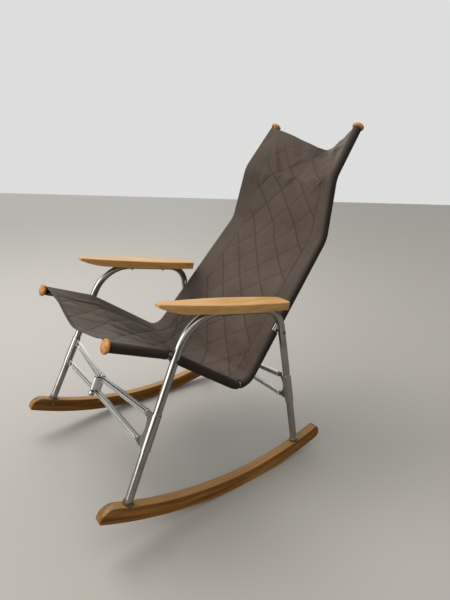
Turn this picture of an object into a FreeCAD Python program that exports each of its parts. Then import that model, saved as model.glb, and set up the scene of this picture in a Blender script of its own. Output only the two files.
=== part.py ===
import FreeCAD, Part
import math
import os

# Folding rocking chair, in millimetres. It faces -Y, and +X is the sitter's left.
# Every point of a side is given in the side view as (y, z), with y = 0 above the point
# where the rockers touch the floor, and the sides mirror each other about x = 0.

V = FreeCAD.Vector

# Rockers: bent wood of one arc, with the foot holes in their tops
ROCKER_RADIUS = 984.0
ROCKER_DEPTH = 40.0
ROCKER_WIDTH = 25.0
ROCKER_FRONT_ANGLE = 27.9
ROCKER_REAR_ANGLE = 14.6
ROCKER_NOSE_ROUND = 31.0
ROCKER_TOE_ROUND = 4.0
ROCKER_TAIL_ROUND = 16.0
ROCKER_EDGE_ROUND = 2.0
FOOT_SPACING = 540.0

# Side frames: one bent tube each, leaning in towards the top
TUBE_DIAMETER = 20.0
TUBE_WALL = 1.2
FRAME_LEAN = 4.0
FRONT_FOOT_Y = -386.6
FRONT_LEG_ANGLE = 26.3
REAR_FOOT_Y = 147.5
REAR_LEG_ANGLE = -7.5
ARM_LINE_HEIGHT = 495.1
ARM_LINE_ANGLE = -11.45
FRONT_BEND_RADIUS = 112.0
REAR_BEND_RADIUS = 75.0
FOOT_DEPTH = 26.0
FOOT_PIN_DIAMETER = 5.0
FOOT_PIN_DEPTH = 16.0
COLLAR_DIAMETER = 26.0
COLLAR_HEIGHT = 6.0
COLLAR_SCREW_DIAMETER = 4.0

# Armrests: shaped wood, grooved below for the tube
ARM_LENGTH = 391.0
ARM_FRONT_Y = -268.0
ARM_CENTRE_X = 232.0
ARM_TIP_WIDTH = 20.0
ARM_WIDEST = 66.0
ARM_WIDEST_FROM_TIP = 185.0
ARM_REAR_WIDTH = 50.0
ARM_THICKNESS = 21.0
ARM_TIP_THICKNESS = 10.0
ARM_TAPER_LENGTH = 92.0
ARM_ABOVE_TUBE = 2.4
ARM_EDGE_ROUND = 3.0
ARM_CORNER_ROUND = 12.0
ARM_TIP_ROUND = 5.0
ARM_SCREW_DIAMETER = 4.0
ARM_SCREW_GRIP = 14.0
ARM_SCREW_SPOTS = (-95.0, 15.0)

# Sling tubes: one bent tube each side, inside the frame, as (y, z) corners with bend radii
SLING_TOP_END = (434.0, 923.0)
SLING_UPPER_BEND = (331.8, 796.1)
SLING_LOWER_BEND = (291.3, 629.3)
SLING_CORNER = (-22.2, 271.9)
SLING_KNEE = (-244.0, 440.8)
SLING_FRONT_END = (-377.0, 497.5)
SLING_BEND_RADIUS = 80.0
SLING_CORNER_RADIUS = 50.0
SLING_TUBE_DIAMETER = 19.6
SLING_X_AT_FLOOR = 257.5
SLING_LEAN = 5.03
SLING_TOE = 0.8
HEM_DIAMETER = 24.8
HEM_GAP = 0.2
HEM_BREAK = 9.0
HEM_BEND_GAP = 3.0
HEM_LEG_GAP = 14.0
BOLT_DIAMETER = 6.0
BOLT_HEAD_DIAMETER = 11.0
BOLT_HEAD_HEIGHT = 3.5
NUT_SIZE = 10.0
NUT_HEIGHT = 5.0
SPACER_DIAMETER = 12.0
SADDLE_DEPTH = 2.0

# Turned wooden knobs in the ends of the sling tubes
KNOB_DIAMETER = 33.5
KNOB_THICKNESS = 13.0
KNOB_PLUG_LENGTH = 30.0
KNOB_EDGE_ROUND = 4.5
KNOB_DOME = 2.5

# Sling: one cloth hung between the tubes. Each station gives a distance along the tubes from their
# front ends, the sag there and the fullness of its curve, where 1 is a V and 2 an even curve.
CLOTH_THICKNESS = 3.0
CLOTH_GAP = 0.5
CLOTH_NOTCH_RADIUS = 9.0
CLOTH_STRIPS = 12
CLOTH_STATIONS = [
    (10, 31, 1.1), (70, 34, 1.4), (138, 36, 1.6), (172, 35, 1.6), (300, 32, 1.7), (372, 22, 1.9),
    (410, 18, 2.0), (444, 17, 2.0), (500, 18, 2.0), (640, 20, 1.9), (780, 23, 1.9), (860, 27, 1.8),
    (905, 31, 1.7), (985, 41, 1.6), (1034, 49, 1.5), (1075, 55, 1.4), (1140, 66, 1.25), (1195, 77, 1.1),
]

# Folding links: two hinged yokes at the front legs and two at the rear legs
PIVOT_X = 225.0
PIVOT_SPREAD = 66.0
HUB_SPREAD = 38.0
BAR_WIDTH = 14.0
BAR_DEPTH = 9.0
BAR_WALL = 1.5
BAR_END_OPENING = 12.0
HUB_CORNER_ROUND = 7.0
HUB_SET_FORWARD = 15.0
HINGE_SET_FORWARD = 25.0
STOP_GAP = 0.15
BARREL_DIAMETER = 14.0
BARREL_LENGTH = 24.0
LEAF_THICKNESS = 3.0
HINGE_PIN_DIAMETER = 6.0
HINGE_HEAD_DIAMETER = 10.0
HINGE_HEAD_HEIGHT = 2.0
BALL_DIAMETER = 17.0
PLATE_THICKNESS = 1.8
PLATE_SIZE = (32.0, 15.0)
PLATE_RISE = 1.3
PLATE_FOOT_RADIUS = 3.6
RIVET_RADIUS = 2.5
RIVET_DEPTH = 4.6
RIVET_HEAD_RISE = 1.2
FRONT_LINK_HEIGHT = 276.5
REAR_LINK_HEIGHT = 233.0
FRONT_PIVOT_OFFSET = -6.0
REAR_PIVOT_OFFSET = -2.0

# Brackets round the legs, which carry the outer pivots
SLEEVE_DIAMETER = 23.4
SLEEVE_LENGTH = 88.0
BRACKET_PLATE = 2.0
BRACKET_KNUCKLE = 9.8
BRACKET_KNUCKLE_DIAMETER = 9.0
BRACKET_HOLLOW = 8.0
BRACKET_EDGE_GAP = 7.0
PIVOT_PIN_DIAMETER = 4.0
PIVOT_HEAD_DIAMETER = 7.4
PIVOT_HEAD_HEIGHT = 1.8
PIVOT_HEAD_GAP = 0.6

# Fits
FIT = 0.05
RUNNING_FIT = 0.1
BODY_GAP = 0.3

# The tilt that puts the weight over the point of contact
REST_TILT = 1.9

TUBE_RADIUS = TUBE_DIAMETER / 2
SLING_RADIUS = SLING_TUBE_DIAMETER / 2
HEM_RADIUS = HEM_DIAMETER / 2


def tangent(degrees):
    return math.tan(math.radians(degrees))


def frame_x(y, z):
    # The frame's plane leans about the line through its two feet on the rocker
    front = rocker_top(FRONT_FOOT_Y)
    slope = (rocker_top(REAR_FOOT_Y) - front) / (REAR_FOOT_Y - FRONT_FOOT_Y)
    rise = z - front - slope * (y - FRONT_FOOT_Y)
    return FOOT_SPACING / 2 - rise * tangent(FRAME_LEAN)


def frame_point(spot):
    return V(frame_x(spot[0], spot[1]), spot[0], spot[1])


def sling_x(y, z):
    return SLING_X_AT_FLOOR - z * tangent(SLING_LEAN) - y * tangent(SLING_TOE)


def sling_point(spot):
    return V(sling_x(spot[0], spot[1]), spot[0], spot[1])


def rocker_top(y):
    return ROCKER_RADIUS - math.sqrt((ROCKER_RADIUS - ROCKER_DEPTH) ** 2 - y ** 2)


def crossing(start_a, slope_a, start_b, slope_b):
    # Lines given as y = start + slope * z meet here
    z = (start_b - start_a) / (slope_a - slope_b)
    return (start_a + slope_a * z, z)


def route(points, radii, closed=False):
    # A path of straight runs, with a tangent arc at each corner that has a radius
    count = len(points)
    starts = list(points)
    ends = list(points)
    mids = [None] * count
    for i in range(count):
        if not closed and i in (0, count - 1):
            continue
        if radii[i] <= 0:
            continue
        before = (points[i - 1] - points[i]).normalize()
        after = (points[(i + 1) % count] - points[i]).normalize()
        half = before.getAngle(after) / 2
        reach = radii[i] / math.tan(half)
        middle = (before + after).normalize()
        starts[i] = points[i] + before * reach
        ends[i] = points[i] + after * reach
        mids[i] = points[i] + middle * (radii[i] / math.sin(half) - radii[i])
    edges = []
    for i in range(count):
        if mids[i] is not None:
            edges.append(Part.Arc(starts[i], mids[i], ends[i]).toShape())
        if closed or i < count - 1:
            following = (i + 1) % count
            if ends[i].distanceToPoint(starts[following]) > 1e-6:
                edges.append(Part.LineSegment(ends[i], starts[following]).toShape())
    return Part.Wire(edges)


def rod_along(path, radius):
    first = path.Edges[0]
    start = first.valueAt(first.FirstParameter)
    heading = first.tangentAt(first.FirstParameter)
    ring = Part.Wire([Part.Circle(start, heading, radius).toShape()])
    return path.makePipeShell([ring], True, False)


def pipe_along(path, outer, inner):
    return rod_along(path, outer).cut(rod_along(path, inner))


def rod(start, end, radius):
    return Part.makeCylinder(radius, start.distanceToPoint(end), start, end - start)


def ring(start, end, outer, inner):
    return rod(start, end, outer).cut(rod(start, end, inner))


def box(corner, opposite):
    size = opposite - corner
    return Part.makeBox(size.x, size.y, size.z, corner)


def mirrored(shape):
    return shape.mirror(V(0, 0, 0), V(1, 0, 0))


# Side frames
def leg_line(foot_y, angle):
    # The leg as y = start + slope * z
    slope = tangent(angle)
    return foot_y - slope * rocker_top(foot_y), slope


def arm_line():
    # The arm run as y = start + slope * z
    slope = 1 / tangent(ARM_LINE_ANGLE)
    return -slope * ARM_LINE_HEIGHT, slope


def leg_point(foot_y, angle, z):
    start, slope = leg_line(foot_y, angle)
    return frame_point((start + slope * z, z))


def foot_end(foot_y, angle):
    top = leg_point(foot_y, angle, rocker_top(foot_y))
    above = leg_point(foot_y, angle, rocker_top(foot_y) + 100)
    return top - (above - top).normalize() * FOOT_DEPTH


def frame_path():
    front_top = crossing(*leg_line(FRONT_FOOT_Y, FRONT_LEG_ANGLE), *arm_line())
    rear_top = crossing(*leg_line(REAR_FOOT_Y, REAR_LEG_ANGLE), *arm_line())
    points = [
        foot_end(FRONT_FOOT_Y, FRONT_LEG_ANGLE),
        frame_point(front_top),
        frame_point(rear_top),
        foot_end(REAR_FOOT_Y, REAR_LEG_ANGLE),
    ]
    return route(points, [0, FRONT_BEND_RADIUS, REAR_BEND_RADIUS, 0])


def feet():
    # Each foot as the point where its axis enters the rocker and the way up its leg
    found = []
    for foot_y, angle in ((FRONT_FOOT_Y, FRONT_LEG_ANGLE), (REAR_FOOT_Y, REAR_LEG_ANGLE)):
        top = leg_point(foot_y, angle, rocker_top(foot_y))
        above = leg_point(foot_y, angle, rocker_top(foot_y) + 100)
        found.append((top, (above - top).normalize()))
    return found


def foot_pin_ends(foot):
    top, up = foot
    centre = top - up * FOOT_PIN_DEPTH
    half = V(ROCKER_WIDTH / 2, 0, 0)
    middle = V(FOOT_SPACING / 2, centre.y, centre.z)
    return middle - half, middle + half


def collar_screw_ends(foot):
    top, up = foot
    centre = top + up * (COLLAR_HEIGHT / 2 + 1)
    inner = centre + V(TUBE_RADIUS - TUBE_WALL, 0, 0)
    return inner, centre + V(COLLAR_DIAMETER / 2 + 0.8, 0, 0)


def make_rocker():
    centre = V(0, 0, ROCKER_RADIUS)

    def spot(radius, degrees):
        turn = math.radians(degrees)
        return centre + V(0, math.sin(turn) * radius, -math.cos(turn) * radius)

    outer = ROCKER_RADIUS
    inner = ROCKER_RADIUS - ROCKER_DEPTH
    front = -ROCKER_FRONT_ANGLE
    rear = ROCKER_REAR_ANGLE
    edges = [
        Part.Arc(spot(outer, front), spot(outer, 0), spot(outer, rear)).toShape(),
        Part.LineSegment(spot(outer, rear), spot(inner, rear)).toShape(),
        Part.Arc(spot(inner, rear), spot(inner, 0), spot(inner, front)).toShape(),
        Part.LineSegment(spot(inner, front), spot(outer, front)).toShape(),
    ]
    face = Part.Face(Part.Wire(edges))
    rocker = face.extrude(V(ROCKER_WIDTH, 0, 0))
    rocker.translate(V(FOOT_SPACING / 2 - ROCKER_WIDTH / 2, 0, 0))
    rounds = (
        (spot(inner, front), ROCKER_NOSE_ROUND), (spot(inner, rear), ROCKER_TAIL_ROUND),
        (spot(outer, rear), ROCKER_TAIL_ROUND), (spot(outer, front), ROCKER_TOE_ROUND),
    )
    for corner, radius in rounds:
        middle = corner + V(FOOT_SPACING / 2, 0, 0)
        across = min(rocker.Edges, key=lambda e: e.CenterOfMass.distanceToPoint(middle))
        rocker = rocker.makeFillet(radius, [across])
    long_edges = [e for e in rocker.Edges if e.BoundBox.XLength < 1e-6]
    rocker = rocker.makeFillet(ROCKER_EDGE_ROUND, long_edges)
    for foot in feet():
        top, up = foot
        rocker = rocker.cut(rod(top - up * FOOT_DEPTH, top + up * FOOT_DEPTH, TUBE_RADIUS + FIT))
        start, end = foot_pin_ends(foot)
        rocker = rocker.cut(rod(start, end, FOOT_PIN_DIAMETER / 2))
    return rocker


def make_frame_tube():
    tube = pipe_along(frame_path(), TUBE_RADIUS, TUBE_RADIUS - TUBE_WALL)
    for foot in feet():
        start, end = foot_pin_ends(foot)
        tube = tube.cut(rod(start, end, FOOT_PIN_DIAMETER / 2))
        start, end = collar_screw_ends(foot)
        tube = tube.cut(rod(start, end, COLLAR_SCREW_DIAMETER / 2))
    for start, end in arm_screw_lines():
        tube = tube.cut(rod(start, end, ARM_SCREW_DIAMETER / 2))
    for start, end in bolt_lines():
        tube = tube.cut(rod(start, end, BOLT_DIAMETER / 2))
    return tube


def make_foot_collars(rocker):
    collars = []
    for foot in feet():
        top, up = foot
        collar = ring(top - up * 3, top + up * (COLLAR_HEIGHT + 1), COLLAR_DIAMETER / 2, TUBE_RADIUS + FIT)
        collar = collar.cut(rocker)
        start, end = collar_screw_ends(foot)
        collar = collar.cut(rod(start, end, COLLAR_SCREW_DIAMETER / 2))
        collars.append(max(collar.Solids, key=lambda solid: solid.Volume))
    return Part.Compound(collars)


def make_collar_screws():
    return Part.Compound([rod(*collar_screw_ends(foot), COLLAR_SCREW_DIAMETER / 2) for foot in feet()])


def make_foot_pins():
    pins = []
    for foot in feet():
        start, end = foot_pin_ends(foot)
        pins.append(rod(start, end, FOOT_PIN_DIAMETER / 2))
    return Part.Compound(pins)


# Armrests
def arm_axes():
    # Along the arm to the rear, and square to it upwards, in the side view
    turn = math.radians(ARM_LINE_ANGLE)
    return V(0, math.cos(turn), math.sin(turn)), V(0, -math.sin(turn), math.cos(turn))


def arm_origin():
    along, up = arm_axes()
    z = ARM_LINE_HEIGHT + ARM_FRONT_Y * tangent(ARM_LINE_ANGLE)
    return V(ARM_CENTRE_X, ARM_FRONT_Y, z) + up * ARM_ABOVE_TUBE


def arm_screw_lines():
    along, up = arm_axes()
    lines = []
    for y in ARM_SCREW_SPOTS:
        z = ARM_LINE_HEIGHT + y * tangent(ARM_LINE_ANGLE)
        centre = frame_point((y, z))
        lines.append((centre - up * (TUBE_RADIUS + 2.2), centre + up * (ARM_ABOVE_TUBE + ARM_SCREW_GRIP)))
    return lines


def make_armrest():
    tip = ARM_TIP_WIDTH / 2
    wide = ARM_WIDEST / 2
    rear = ARM_REAR_WIDTH / 2
    inner = Part.Arc(V(-tip, 0, 0), V(-wide, ARM_WIDEST_FROM_TIP, 0), V(-rear, ARM_LENGTH, 0)).toShape()
    outer = Part.Arc(V(rear, ARM_LENGTH, 0), V(wide, ARM_WIDEST_FROM_TIP, 0), V(tip, 0, 0)).toShape()
    back = Part.LineSegment(V(-rear, ARM_LENGTH, 0), V(rear, ARM_LENGTH, 0)).toShape()
    front = Part.LineSegment(V(tip, 0, 0), V(-tip, 0, 0)).toShape()
    plan = Part.Face(Part.Wire([inner, back, outer, front]))
    board = plan.extrude(V(0, 0, ARM_THICKNESS))
    upright = [e for e in board.Edges if abs(e.BoundBox.ZLength - ARM_THICKNESS) < 1e-6 and e.BoundBox.XLength < 1e-6]
    rear_corners = [e for e in upright if e.BoundBox.YMin > ARM_LENGTH / 2]
    board = board.makeFillet(ARM_CORNER_ROUND, rear_corners)
    upright = [e for e in board.Edges if abs(e.BoundBox.ZLength - ARM_THICKNESS) < 1e-6 and e.BoundBox.YMax < 1]
    board = board.makeFillet(ARM_TIP_ROUND, upright)
    rise = ARM_THICKNESS - ARM_TIP_THICKNESS
    low = Part.Arc(
        V(0, -1, rise + 3), V(0, ARM_TAPER_LENGTH * 0.42, rise * 0.3), V(0, ARM_TAPER_LENGTH, 0)
    ).toShape()
    below = Part.LineSegment(V(0, ARM_TAPER_LENGTH, 0), V(0, -1, -5)).toShape()
    rising = Part.LineSegment(V(0, -1, -5), V(0, -1, rise + 3)).toShape()
    scoop = Part.Face(Part.Wire([low, below, rising])).extrude(V(ARM_WIDEST, 0, 0))
    scoop.translate(V(-wide, 0, 0))
    board = board.cut(scoop)
    top_edges = [e for e in board.Edges if e.BoundBox.ZMin > ARM_THICKNESS - 1e-3]
    board = board.makeFillet(ARM_EDGE_ROUND, top_edges)
    along, up = arm_axes()
    board.rotate(V(0, 0, 0), V(1, 0, 0), ARM_LINE_ANGLE)
    board.translate(arm_origin())
    board = board.cut(rod_along(frame_path(), TUBE_RADIUS + FIT))
    for start, end in arm_screw_lines():
        board = board.cut(rod(start, end, ARM_SCREW_DIAMETER / 2))
    return board


def make_armrest_screws():
    screws = []
    along, up = arm_axes()
    for start, end in arm_screw_lines():
        shank = rod(start, end, ARM_SCREW_DIAMETER / 2)
        head = rod(start, start + up * 2, ARM_SCREW_DIAMETER)
        screws.append(shank.fuse(head).removeSplitter())
    return Part.Compound(screws)


# Sling tubes
def sling_corners():
    spots = (
        SLING_FRONT_END, SLING_KNEE, SLING_CORNER, SLING_LOWER_BEND, SLING_UPPER_BEND, SLING_TOP_END
    )
    return [sling_point(spot) for spot in spots]


def sling_path():
    bend = SLING_BEND_RADIUS
    return route(sling_corners(), [0, bend, SLING_CORNER_RADIUS, bend, bend, 0])


def side_line(first, second):
    # The run between two (y, z) spots as y = start + slope * z
    slope = (second[0] - first[0]) / (second[1] - first[1])
    return first[0] - slope * first[1], slope


def bolt_spots():
    # Where the sling tube crosses the front leg and the rear leg in the side view
    front = crossing(*side_line(SLING_KNEE, SLING_CORNER), *leg_line(FRONT_FOOT_Y, FRONT_LEG_ANGLE))
    rear = crossing(*side_line(SLING_CORNER, SLING_LOWER_BEND), *leg_line(REAR_FOOT_Y, REAR_LEG_ANGLE))
    return front, rear


def bolt_lines():
    lines = []
    for spot in bolt_spots():
        inner = sling_point(spot) - V(SLING_RADIUS + NUT_HEIGHT, 0, 0)
        outer = frame_point(spot) + V(TUBE_RADIUS + BOLT_HEAD_HEIGHT, 0, 0)
        lines.append((inner, outer))
    return lines


def make_sling_tube():
    tube = pipe_along(sling_path(), SLING_RADIUS, SLING_RADIUS - TUBE_WALL)
    for start, end in bolt_lines():
        tube = tube.cut(rod(start, end, BOLT_DIAMETER / 2))
    return tube


def make_sling_bolts(frame_rod):
    # The underside of each head is shaped to the frame tube
    bolts = []
    for start, end in bolt_lines():
        seat = end - V(BOLT_HEAD_HEIGHT, 0, 0)
        shank = rod(start, seat, BOLT_DIAMETER / 2)
        under = seat - V(SADDLE_DEPTH, 0, 0)
        radius = BOLT_HEAD_DIAMETER / 2
        height = BOLT_HEAD_HEIGHT + SADDLE_DEPTH
        ball = (radius ** 2 + height ** 2) / (2 * height)
        dome = Part.makeSphere(ball, end - V(ball, 0, 0))
        dome = dome.common(rod(under, end + V(1, 0, 0), radius))
        bolts.append(shank.fuse(dome.cut(frame_rod)).removeSplitter())
    return Part.Compound(bolts)


def make_sling_nuts(sling_rod):
    nuts = []
    for start, end in bolt_lines():
        corners = []
        for i in range(7):
            turn = math.radians(60 * i)
            reach = NUT_SIZE / 2 / math.cos(math.radians(30))
            corners.append(start + V(0, math.cos(turn) * reach, math.sin(turn) * reach))
        nut = Part.Face(Part.makePolygon(corners)).extrude(V(NUT_HEIGHT + SADDLE_DEPTH, 0, 0))
        nuts.append(nut.cut(rod(start, end, BOLT_DIAMETER / 2)).cut(sling_rod))
    return Part.Compound(nuts)


def make_sling_spacers(frame_rod, sling_rod):
    spacers = []
    for spot in bolt_spots():
        spacer = ring(sling_point(spot), frame_point(spot), SPACER_DIAMETER / 2, BOLT_DIAMETER / 2)
        spacers.append(spacer.cut(frame_rod).cut(sling_rod))
    return Part.Compound(spacers)


def make_knob(end, inner_point):
    # Turned about +X, then set on the tube end with its plug inside
    wide = KNOB_DIAMETER / 2
    round_off = KNOB_EDGE_ROUND
    plug = SLING_RADIUS - TUBE_WALL
    rim = wide - round_off
    face = KNOB_THICKNESS - KNOB_DOME
    ball = (rim ** 2 + KNOB_DOME ** 2) / (2 * KNOB_DOME)
    share = math.asin(rim / ball) / 2
    crown = V(KNOB_THICKNESS - ball + ball * math.cos(share), ball * math.sin(share), 0)
    edges = [
        Part.LineSegment(V(-KNOB_PLUG_LENGTH, 0, 0), V(-KNOB_PLUG_LENGTH, plug, 0)).toShape(),
        Part.LineSegment(V(-KNOB_PLUG_LENGTH, plug, 0), V(0, plug, 0)).toShape(),
        Part.LineSegment(V(0, plug, 0), V(0, rim, 0)).toShape(),
        Part.Arc(V(0, rim, 0), V(face * 0.5, wide, 0), V(face, rim, 0)).toShape(),
        Part.Arc(V(face, rim, 0), crown, V(KNOB_THICKNESS, 0, 0)).toShape(),
        Part.LineSegment(V(KNOB_THICKNESS, 0, 0), V(-KNOB_PLUG_LENGTH, 0, 0)).toShape(),
    ]
    knob = Part.Face(Part.Wire(edges)).revolve(V(0, 0, 0), V(1, 0, 0), 360)
    outward = (end - inner_point).normalize()
    knob.Placement = FreeCAD.Placement(end, FreeCAD.Rotation(V(1, 0, 0), outward))
    return knob


# Hems: cloth sleeves round the sling tubes, open at the bends and at the legs
def hem_runs():
    corners = sling_corners()
    front_bolt, rear_bolt = [sling_point(spot) for spot in bolt_spots()]

    def trimmed(first, second, start_gap, end_gap):
        way = (second - first).normalize()
        return first + way * start_gap, second - way * end_gap

    knee, corner, lower, upper = corners[1:5]
    seat = [
        list(trimmed(corners[0], knee, 0, HEM_LEG_GAP)),
        list(trimmed(front_bolt, corner, HEM_LEG_GAP, SLING_CORNER_RADIUS)),
    ]
    back = [
        list(trimmed(corner, rear_bolt, SLING_CORNER_RADIUS, HEM_LEG_GAP)),
        list(trimmed(rear_bolt, lower, HEM_LEG_GAP, SLING_BEND_RADIUS * 0.25 + HEM_BEND_GAP)),
        list(trimmed(lower, upper, SLING_BEND_RADIUS * 0.25, SLING_BEND_RADIUS * 0.25 + HEM_BEND_GAP)),
        list(trimmed(upper, corners[5], SLING_BEND_RADIUS * 0.25, 0)),
    ]
    return seat, back


def make_hems(runs):
    sleeves = []
    for points in runs:
        path = route(points, [0, 0])
        sleeves.append(pipe_along(path, HEM_RADIUS, SLING_RADIUS + HEM_GAP))
    return Part.Compound(sleeves)


# Cloth panel
def cloth_line(distance):
    # The spot and the way of the tube's line in the side view, at a distance from the front end
    for edge in sling_path().OrderedEdges:
        if distance < edge.Length:
            break
        distance -= edge.Length
    place = edge.getParameterByLength(distance)
    way = edge.tangentAt(place)
    return edge.valueAt(place), V(0, way.y, way.z).normalize()


def cloth_section(distance, sag, fullness):
    # The cloth leaves the top of each hem at a slant and hangs by its sag in the middle
    spot, along = cloth_line(distance)
    away = V(0, along.z, -along.y)
    half = sling_x(spot.y, spot.z)
    leave = math.atan(fullness * (sag + HEM_RADIUS) / half)
    top = HEM_RADIUS * math.cos(leave)
    edge = half - HEM_RADIUS * math.sin(leave)
    reach = half - HEM_RADIUS - CLOTH_GAP
    upper = []
    for i in range(CLOTH_STRIPS + 1):
        x = reach * (2 * i / CLOTH_STRIPS - 1)
        depth = -top + (sag + top) * (1 - (abs(x) / edge) ** fullness)
        upper.append(V(x, spot.y, spot.z) + away * depth)
    lower = [point + away * CLOTH_THICKNESS for point in reversed(upper)]
    return Part.makePolygon(upper + lower + upper[:1])


def make_sling_panel():
    panel = Part.makeLoft([cloth_section(*station) for station in CLOTH_STATIONS], True, True)
    for start, end in bolt_lines():
        notch = rod(start - V(1, 0, 0), end, CLOTH_NOTCH_RADIUS)
        panel = panel.cut(notch).cut(mirrored(notch))
    return panel


# Folding links, drawn in a frame with x across, y square to the legs and z up the legs
def link_frame(foot_y, angle, height):
    start, slope = leg_line(foot_y, angle)
    turn = math.radians(angle)
    up = V(0, math.sin(turn), math.cos(turn))
    back = V(0, math.cos(turn), -math.sin(turn))
    rotation = FreeCAD.Rotation(V(1, 0, 0), back, up, "XYZ")
    return FreeCAD.Placement(V(0, start + slope * height, height), rotation)


def front_link_frame():
    return link_frame(FRONT_FOOT_Y, FRONT_LEG_ANGLE, FRONT_LINK_HEIGHT)


def rear_link_frame():
    return link_frame(REAR_FOOT_Y, REAR_LEG_ANGLE, REAR_LINK_HEIGHT)


def band(points, half, corner):
    # A flat strip of one width along a bent line, as a closed outline
    sides = []
    for sign in (1, -1):
        shifted = []
        for i, point in enumerate(points):
            normals = []
            if i > 0:
                way = (point - points[i - 1]).normalize()
                normals.append(V(-way.y, way.x, 0))
            if i < len(points) - 1:
                way = (points[i + 1] - point).normalize()
                normals.append(V(-way.y, way.x, 0))
            middle = normals[0]
            if len(normals) == 2:
                middle = (normals[0] + normals[1]).normalize()
            reach = half / middle.dot(normals[0])
            shifted.append(point + middle * (sign * reach))
        sides.append(shifted)
    outline = sides[0] + sides[1][::-1]
    last = len(points) - 1
    radii = []
    for sign, side in ((1, sides[0]), (-1, sides[1][::-1])):
        for i in range(len(side)):
            radii.append(0 if i in (0, last) else max(corner + sign * half, 0.5))
    return Part.Face(route(outline, radii, closed=True))


def yoke_blank(pivot_offset, hollowed=True):
    # One bent channel, from the upper outer pivot to the hub and back to the lower one,
    # with its web at the back; drawn flat in x and y and then stood up on the hub line
    reach = math.hypot(PIVOT_X, HUB_SET_FORWARD)
    hub = reach - STOP_GAP - BAR_WIDTH / 2
    top = PIVOT_SPREAD / 2
    low = HUB_SPREAD / 2
    outer = top + (top - low) * BAR_DEPTH / hub
    line = [V(-BAR_DEPTH, outer, 0), V(hub, low, 0), V(hub, -low, 0), V(-BAR_DEPTH, -outer, 0)]
    solid = band(line, BAR_WIDTH / 2, HUB_CORNER_ROUND).extrude(V(0, 0, BAR_DEPTH))
    inside = band(line, BAR_WIDTH / 2 - BAR_WALL, HUB_CORNER_ROUND)
    hollow = inside.extrude(V(0, 0, BAR_DEPTH - BAR_WALL))
    opening = inside.extrude(V(0, 0, BAR_DEPTH))
    opening = opening.common(box(V(-2 * BAR_DEPTH, -100, -1), V(BAR_END_OPENING, 100, BAR_DEPTH + 1)))
    if hollowed:
        solid = solid.cut(hollow).cut(opening)
    depth = BAR_DEPTH / 2
    keep = box(V(0, -100, 0), V(reach, 100, BAR_DEPTH))
    keep = keep.fuse(rod(V(0, -100, depth), V(0, 100, depth), depth))
    solid = solid.common(keep)
    bore = rod(V(0, -100, depth), V(0, 100, depth), PIVOT_PIN_DIAMETER / 2 + RUNNING_FIT)
    solid = solid.cut(bore)
    # x runs inward from the pivot, y up the leg and z backward, with the open side in front
    turn = math.atan2(HUB_SET_FORWARD, PIVOT_X)
    inward = V(-math.cos(turn), -math.sin(turn), 0)
    backward = V(-math.sin(turn), math.cos(turn), 0)
    rotation = FreeCAD.Rotation(inward, V(0, 0, 1), backward, "XYZ")
    start = V(PIVOT_X, pivot_offset, 0) - backward * depth
    solid.Placement = FreeCAD.Placement(start, rotation)
    return solid


def hinge_line(pivot_offset):
    return pivot_offset - HINGE_SET_FORWARD


def barrel(pivot_offset, low, high, radius):
    axis = hinge_line(pivot_offset)
    return rod(V(0, axis, low), V(0, axis, high), radius)


def make_yoke(pivot_offset, middle):
    # The yoke of the +X side. With middle it carries the middle barrel, otherwise the outer two.
    half = BARREL_LENGTH / 2
    ends = HUB_SPREAD / 2
    own = [(-half, half)] if middle else [(half + BODY_GAP, ends), (-ends, -half - BODY_GAP)]
    other = [(half, ends + 1), (-ends - 1, -half)] if middle else [(-half - BODY_GAP, half + BODY_GAP)]
    axis = hinge_line(pivot_offset)
    hub_y = pivot_offset - HUB_SET_FORWARD
    yoke = yoke_blank(pivot_offset)
    yoke = yoke.common(box(V(STOP_GAP, -100, -100), V(PIVOT_X + 50, 100, 100)))
    for low, high in other:
        yoke = yoke.cut(barrel(pivot_offset, low, high, BARREL_DIAMETER / 2 + BODY_GAP))
    bore = HINGE_PIN_DIAMETER / 2 + (0 if middle else RUNNING_FIT)
    for low, high in own:
        leaf = box(V(STOP_GAP, axis, low), V(STOP_GAP + LEAF_THICKNESS, hub_y + BAR_DEPTH / 2, high))
        yoke = yoke.fuse(leaf).fuse(barrel(pivot_offset, low, high, BARREL_DIAMETER / 2))
    yoke = yoke.cut(barrel(pivot_offset, -100, 100, bore))
    return yoke.removeSplitter()


def make_hinge_pin(pivot_offset):
    # Its head is above the upper barrel and its ball, a finger grip, below the lower one
    top = HUB_SPREAD / 2 + BODY_GAP
    radius = BALL_DIAMETER / 2
    pin = barrel(pivot_offset, -top - radius, top + HINGE_HEAD_HEIGHT, HINGE_PIN_DIAMETER / 2)
    head = barrel(pivot_offset, top, top + HINGE_HEAD_HEIGHT, HINGE_HEAD_DIAMETER / 2)
    ball = Part.makeSphere(radius, V(0, hinge_line(pivot_offset), -top - radius))
    return pin.fuse(head).fuse(ball).removeSplitter()


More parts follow.
